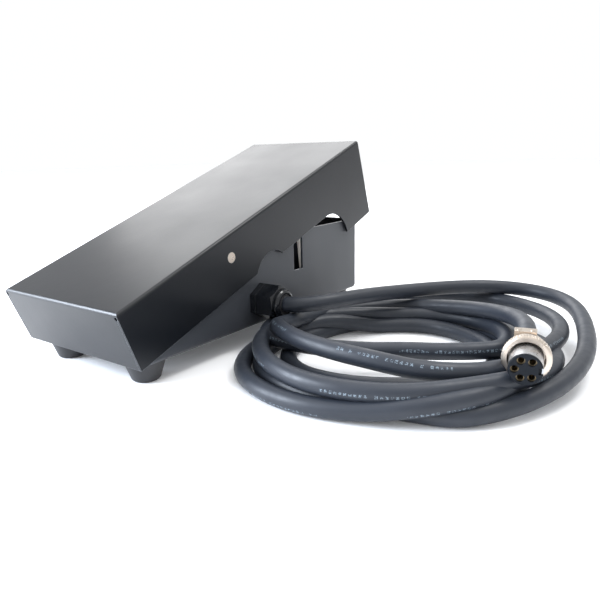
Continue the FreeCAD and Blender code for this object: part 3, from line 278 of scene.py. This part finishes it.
class Finish:
    """A node-based material that is put together a step at a time."""

    def __init__(self, name, colour, roughness, metallic=0.0, specular=0.5):
        self.material = bpy.data.materials.new(name)
        self.material.use_nodes = True
        self.tree = self.material.node_tree
        self.shader = self.tree.nodes["Principled BSDF"]
        self.shader.inputs["Base Color"].default_value = (*colour, 1)
        self.shader.inputs["Roughness"].default_value = roughness
        self.shader.inputs["Metallic"].default_value = metallic
        self.shader.inputs["Specular IOR Level"].default_value = specular
        self.material.diffuse_color = (*colour, 1)
        self.place = self.add("ShaderNodeTexCoord").outputs["Object"]
        self.colour = colour

    def add(self, kind, **inputs):
        node = self.tree.nodes.new(kind)
        for name, given in inputs.items():
            self.feed(node.inputs[name.replace("_", " ")], given)
        return node

    def feed(self, socket, given):
        if isinstance(given, bpy.types.NodeSocket):
            self.tree.links.new(given, socket)
        else:
            socket.default_value = given

    def maths(self, operation, *values):
        node = self.add("ShaderNodeMath")
        node.operation = operation
        for socket, given in zip(node.inputs, values):
            self.feed(socket, given)
        return node.outputs[0]

    def stretched(self, scale):
        node = self.add("ShaderNodeMapping", Vector=self.place)
        node.inputs["Scale"].default_value = scale
        return node.outputs[0]

    def noise(self, per_metre, detail=3.0, stretch=None):
        place = self.stretched(stretch) if stretch else self.place
        node = self.add("ShaderNodeTexNoise", Vector=place, Scale=per_metre, Detail=detail)
        return node.outputs["Fac"]

    def between(self, factor, low, high):
        node = self.add("ShaderNodeMapRange", Value=factor)
        node.inputs["From Min"].default_value = 0.3
        node.inputs["From Max"].default_value = 0.7
        node.inputs["To Min"].default_value = low
        node.inputs["To Max"].default_value = high
        return node.outputs[0]

    def mottle(self, per_metre, lighter, share=1.0):
        """Colour that wanders between the plain colour and a lighter one."""
        mix = self.add("ShaderNodeMix")
        mix.data_type = "RGBA"
        self.feed(mix.inputs["Factor"], self.maths("MULTIPLY", self.noise(per_metre), share))
        mix.inputs["A"].default_value = (*self.colour, 1)
        mix.inputs["B"].default_value = (*lighter, 1)
        self.tree.links.new(mix.outputs["Result"], self.shader.inputs["Base Color"])
        return self

    def rough(self, per_metre, low, high, stretch=None):
        self.feed(self.shader.inputs["Roughness"], self.between(self.noise(per_metre, 4, stretch), low, high))
        return self

    def bump(self, height, distance, strength=1.0):
        node = self.add("ShaderNodeBump", Height=height, Strength=strength, Distance=distance)
        earlier = self.shader.inputs["Normal"].links
        if earlier:
            self.feed(node.inputs["Normal"], earlier[0].from_socket)
        self.feed(self.shader.inputs["Normal"], node.outputs[0])
        return self

    def painted_edge_highlight(self, radius, colour, share):
        """Mixes in another colour along sharp edges, where the bevelled normal leaves the true one: a painted
        highlight line along the edges.
        """
        rounded = self.add("ShaderNodeBevel", Radius=radius).outputs[0]
        dot = self.add("ShaderNodeVectorMath")
        dot.operation = "DOT_PRODUCT"
        self.feed(dot.inputs[0], rounded)
        self.feed(dot.inputs[1], self.add("ShaderNodeNewGeometry").outputs["Normal"])
        edge = self.add("ShaderNodeMapRange", Value=dot.outputs["Value"])
        for name, given in (("From Min", 0.97), ("From Max", 0.80), ("To Min", 0.0), ("To Max", share)):
            edge.inputs[name].default_value = given
        mix = self.add("ShaderNodeMix")
        mix.data_type = "RGBA"
        self.feed(mix.inputs["Factor"], edge.outputs[0])
        self.feed(mix.inputs["A"], self.shader.inputs["Base Color"].links[0].from_socket)
        mix.inputs["B"].default_value = (*colour, 1)
        self.feed(self.shader.inputs["Base Color"], mix.outputs["Result"])
        return self

    def soften(self, radius):
        """Rounds the sharp edges of the piece in the shading."""
        node = self.add("ShaderNodeBevel", Radius=radius)
        node.samples = 4
        self.feed(self.shader.inputs["Normal"], node.outputs[0])
        return self


def powder_coat(name, colour, lighter, low, high, specular):
    """Satin powder coat: a faint orange peel over fine grain, with patches that are a little duller."""
    finish = Finish(name, colour, low, specular=specular)
    finish.soften(0.5 * MM)
    finish.mottle(35, lighter, 0.6)
    # a lighter grey-blue along the sharp edges and bends: painted highlight lines
    finish.painted_edge_highlight(0.45 * MM, (0.26, 0.28, 0.31), 0.75)
    finish.rough(22, low, high)
    finish.bump(finish.noise(420, 2), 0.05 * MM, 0.35)
    finish.bump(finish.noise(2600, 2), 0.02 * MM, 0.4)
    return finish.material


def zinc():
    finish = Finish("zinc_plate", (0.62, 0.62, 0.61), 0.32, metallic=1.0)
    finish.soften(0.25 * MM)
    finish.mottle(60, (0.75, 0.73, 0.66), 0.8)
    finish.rough(150, 0.25, 0.42)
    finish.bump(finish.noise(1800, 2), 0.02 * MM, 0.4)
    return finish.material


def plated_strap_painted_highlight():
    """Dull zinc-plated strip with a warm cast, its colour lifted to near white as a painted highlight, so that it
    reads bright in the slot.
    """
    finish = Finish("plated_strap_painted_highlight", (0.97, 0.90, 0.82), 0.5, metallic=0.15)
    finish.soften(0.25 * MM)
    finish.mottle(80, (0.97, 0.93, 0.88), 0.8)
    finish.rough(150, 0.45, 0.6, (1, 1, 0.2))
    finish.bump(finish.noise(1800, 2, (1, 1, 0.2)), 0.02 * MM, 0.4)
    return finish.material


def contact_brass():
    finish = Finish("contact_brass", (0.30, 0.24, 0.15), 0.4, metallic=1.0)
    finish.mottle(400, (0.20, 0.15, 0.09), 0.9)
    finish.bump(finish.noise(3000, 2), 0.01 * MM, 0.4)
    return finish.material


def spring_wire():
    finish = Finish("drawn_wire", (0.42, 0.43, 0.45), 0.28, metallic=1.0)
    finish.rough(300, 0.2, 0.4)
    finish.bump(finish.noise(900, 3), 0.02 * MM, 0.5)
    return finish.material


def nickel():
    """Satin nickel with a warm cast and fine turning marks."""
    finish = Finish("satin_nickel", (0.50, 0.42, 0.35), 0.3, metallic=1.0)
    finish.soften(0.3 * MM)
    finish.mottle(90, (0.66, 0.60, 0.53), 0.9)
    finish.rough(240, 0.24, 0.38)
    finish.bump(finish.noise(1500, 2, (1, 0.25, 1)), 0.015 * MM, 0.5)
    return finish.material


def bronze():
    finish = Finish("sintered_bronze", (0.45, 0.30, 0.14), 0.45, metallic=1.0)
    finish.bump(finish.noise(3000, 2), 0.03 * MM, 0.6)
    return finish.material


def aluminium():
    finish = Finish("turned_aluminium", (0.72, 0.73, 0.74), 0.3, metallic=1.0)
    finish.soften(0.3 * MM)
    finish.rough(200, 0.22, 0.4)
    finish.bump(finish.noise(2200, 2, (1, 6, 1)), 0.015 * MM, 0.5)
    return finish.material


def moulded(name, colour, lighter, low, high, grain=0.3, specular=0.5):
    """Moulded plastic or rubber with a fine spark-eroded grain."""
    finish = Finish(name, colour, low, specular=specular)
    finish.soften(0.4 * MM)
    finish.mottle(70, lighter, 0.7)
    finish.rough(120, low, high)
    finish.bump(finish.noise(2400, 2), 0.03 * MM, grain)
    return finish.material


# the print along the cable: groups of short dashes, each length in metres, each share of its own pitch
DASH_PITCH = 0.0021
DASH_SHARE = 0.62
PRINT_PITCH = 0.088
PRINT_SHARE = 0.58


def cable_rubber():
    """Charcoal sheath with fine grain, faint wrinkles, dust and a row of printed dashes along it."""
    finish = Finish("cable_rubber", (0.022, 0.026, 0.034), 0.46, specular=0.42)
    uv = finish.add("ShaderNodeSeparateXYZ", Vector=finish.add("ShaderNodeUVMap").outputs[0])
    along, turn = uv.outputs["X"], uv.outputs["Y"]
    spacing = finish.maths("DIVIDE", along, DASH_PITCH)
    number = finish.maths("FLOOR", spacing)
    chance = finish.add("ShaderNodeTexWhiteNoise")
    chance.noise_dimensions = "1D"
    finish.feed(chance.inputs["W"], number)
    dash = finish.maths("LESS_THAN", finish.maths("FRACT", spacing), DASH_SHARE)
    group = finish.maths("FRACT", finish.maths("DIVIDE", along, PRINT_PITCH))
    gap = finish.maths("LESS_THAN", group, PRINT_SHARE)
    drop = finish.maths("GREATER_THAN", chance.outputs["Value"], 0.12)
    across = finish.maths("ABSOLUTE", finish.maths("SUBTRACT", turn, 0.5))
    height = finish.maths("MULTIPLY_ADD", chance.outputs["Value"], 0.014, 0.016)
    band = finish.maths("LESS_THAN", across, height)
    rows = finish.maths("MULTIPLY", dash, gap)
    print_on = finish.maths("MULTIPLY", rows, finish.maths("MULTIPLY", drop, band))
    patchy = finish.maths("GREATER_THAN", finish.noise(1700, 2), 0.5)
    factor = finish.maths("MULTIPLY", finish.maths("MULTIPLY", print_on, patchy), 0.55)
    base = finish.add("ShaderNodeMix")
    base.data_type = "RGBA"
    finish.feed(base.inputs["Factor"], finish.maths("MULTIPLY", finish.noise(48, 4), 0.8))
    base.inputs["A"].default_value = (0.013, 0.017, 0.025, 1)
    base.inputs["B"].default_value = (0.027, 0.032, 0.043, 1)
    mix = finish.add("ShaderNodeMix")
    mix.data_type = "RGBA"
    finish.feed(mix.inputs["Factor"], factor)
    finish.feed(mix.inputs["A"], base.outputs["Result"])
    mix.inputs["B"].default_value = (0.26, 0.33, 0.39, 1)
    finish.feed(finish.shader.inputs["Base Color"], mix.outputs["Result"])
    finish.rough(160, 0.40, 0.54)
    finish.bump(finish.noise(260, 3), 0.10 * MM, 0.25)
    finish.bump(finish.noise(3200, 2), 0.03 * MM, 0.5)
    return finish.material


def finishes():
    """One material for each slot of the record, and two more for nodes in SPECIAL."""
    return {
        "cover_paint": powder_coat("cover_powder_coat", (0.0025, 0.0035, 0.0055), (0.005, 0.006, 0.009),
                                   0.30, 0.37, 0.36),
        "base_paint": powder_coat("base_powder_coat", (0.034, 0.038, 0.046), (0.044, 0.048, 0.057),
                                  0.42, 0.50, 0.5),
        "zinc_steel": zinc(),
        "plated_strap_painted_highlight": plated_strap_painted_highlight(),
        "contact_brass": contact_brass(),
        "spring_steel": spring_wire(),
        "nickel": nickel(),
        "bronze": bronze(),
        "aluminium": aluminium(),
        "foot_rubber": moulded("foot_rubber", (0.020, 0.020, 0.022), (0.034, 0.034, 0.037), 0.5, 0.62, 0.5),
        "cable_rubber": moulded("cable_rubber_plain", (0.030, 0.032, 0.037), (0.046, 0.048, 0.054), 0.42, 0.54),
        "gland_plastic": moulded("gland_nylon", (0.004, 0.005, 0.007), (0.007, 0.008, 0.010), 0.14, 0.22, 0.12, 0.4),
        "black_plastic": moulded("black_plastic", (0.004, 0.006, 0.009), (0.008, 0.010, 0.014),
                                 0.4, 0.5, 0.3, 0.14),
        "white_plastic": moulded("white_plastic", (0.78, 0.77, 0.72), (0.84, 0.83, 0.79), 0.38, 0.5),
        "core_red": moulded("core_red", (0.42, 0.03, 0.02), (0.5, 0.05, 0.03), 0.35, 0.45),
        "core_white": moulded("core_white", (0.72, 0.72, 0.69), (0.8, 0.8, 0.78), 0.35, 0.45),
        "core_green": moulded("core_green", (0.03, 0.22, 0.08), (0.05, 0.28, 0.1), 0.35, 0.45),
    }


SPECIAL = {
    # the stop brackets take the near-white zinc finish: a painted highlight
    "stop_bracket_near": "plated_strap_painted_highlight",
    "stop_bracket_far": "plated_strap_painted_highlight",
    "plug_contacts": "contact_brass",
    # the plug sleeve is nickel like its ring, but takes the darker bluish drawn-wire steel: painted shade, for the
    # cool shading it sits in
    "plug_sleeve": "spring_steel",
}


def dress_nodes():
    """Give every carried-over part the finish of its record slot, or the one that SPECIAL names."""
    ready = finishes()
    slots = {part["node"]: part["material_slot"] for part in frame["record"]["subparts"]}
    for name, node in frame["nodes"].items():
        node.data.materials.clear()
        node.data.materials.append(ready[SPECIAL.get(name, slots[name])])


# ---- studio ------------------------------------------------------------------------------------------

FLOOR_HALF = 6


def floor():
    bm = bmesh.new()
    bmesh.ops.create_grid(bm, x_segments=8, y_segments=8, size=FLOOR_HALF)
    mesh = bpy.data.meshes.new("floor")
    bm.to_mesh(mesh)
    bm.free()
    plane = bpy.data.objects.new("floor", mesh)
    scene.collection.objects.link(plane)
    finish = Finish("studio_floor", (0.93, 0.935, 0.945), 0.7, specular=0.25)
    finish.shader.inputs["Emission Color"].default_value = (0.96, 0.98, 1, 1)
    finish.shader.inputs["Emission Strength"].default_value = 0.06
    mesh.materials.append(finish.material)


def softbox(name, place, aim, width, height, watts, colour=(1, 1, 1)):
    data = bpy.data.lights.new(name, "AREA")
    data.shape = "RECTANGLE"
    data.size = width
    data.size_y = height
    data.energy = watts
    data.color = colour
    lamp = bpy.data.objects.new(name, data)
    lamp.location = place
    lamp.rotation_euler = (Vector(aim) - Vector(place)).to_track_quat("-Z", "Y").to_euler()
    scene.collection.objects.link(lamp)


def studio():
    world = bpy.data.worlds.new("studio")
    scene.world = world
    world.use_nodes = True
    background = world.node_tree.nodes["Background"]
    background.inputs["Color"].default_value = (0.98, 0.99, 1.0, 1)
    background.inputs["Strength"].default_value = 1.02
    floor()
    softbox("back_softbox", (0.97, 0.88, 0.84), (0, 0, 0.08), 1.2, 1.0, 11)
    softbox("top_softbox", (-0.1, -0.1, 1.5), (0, -0.08, 0), 1.6, 1.6, 10)
    softbox("key_softbox", (0.62, -0.52, 1.4), (0, 0, 0.05), 0.45, 0.45, 9)
    softbox("left_softbox", (-0.72, 0.72, 0.42), (-0.34, 0.4, 0), 0.6, 0.6, 34, (0.80, 0.88, 1.0))
    scene.view_settings.view_transform = "Standard"


camera()
cable()
return_spring()
dress_nodes()
studio()
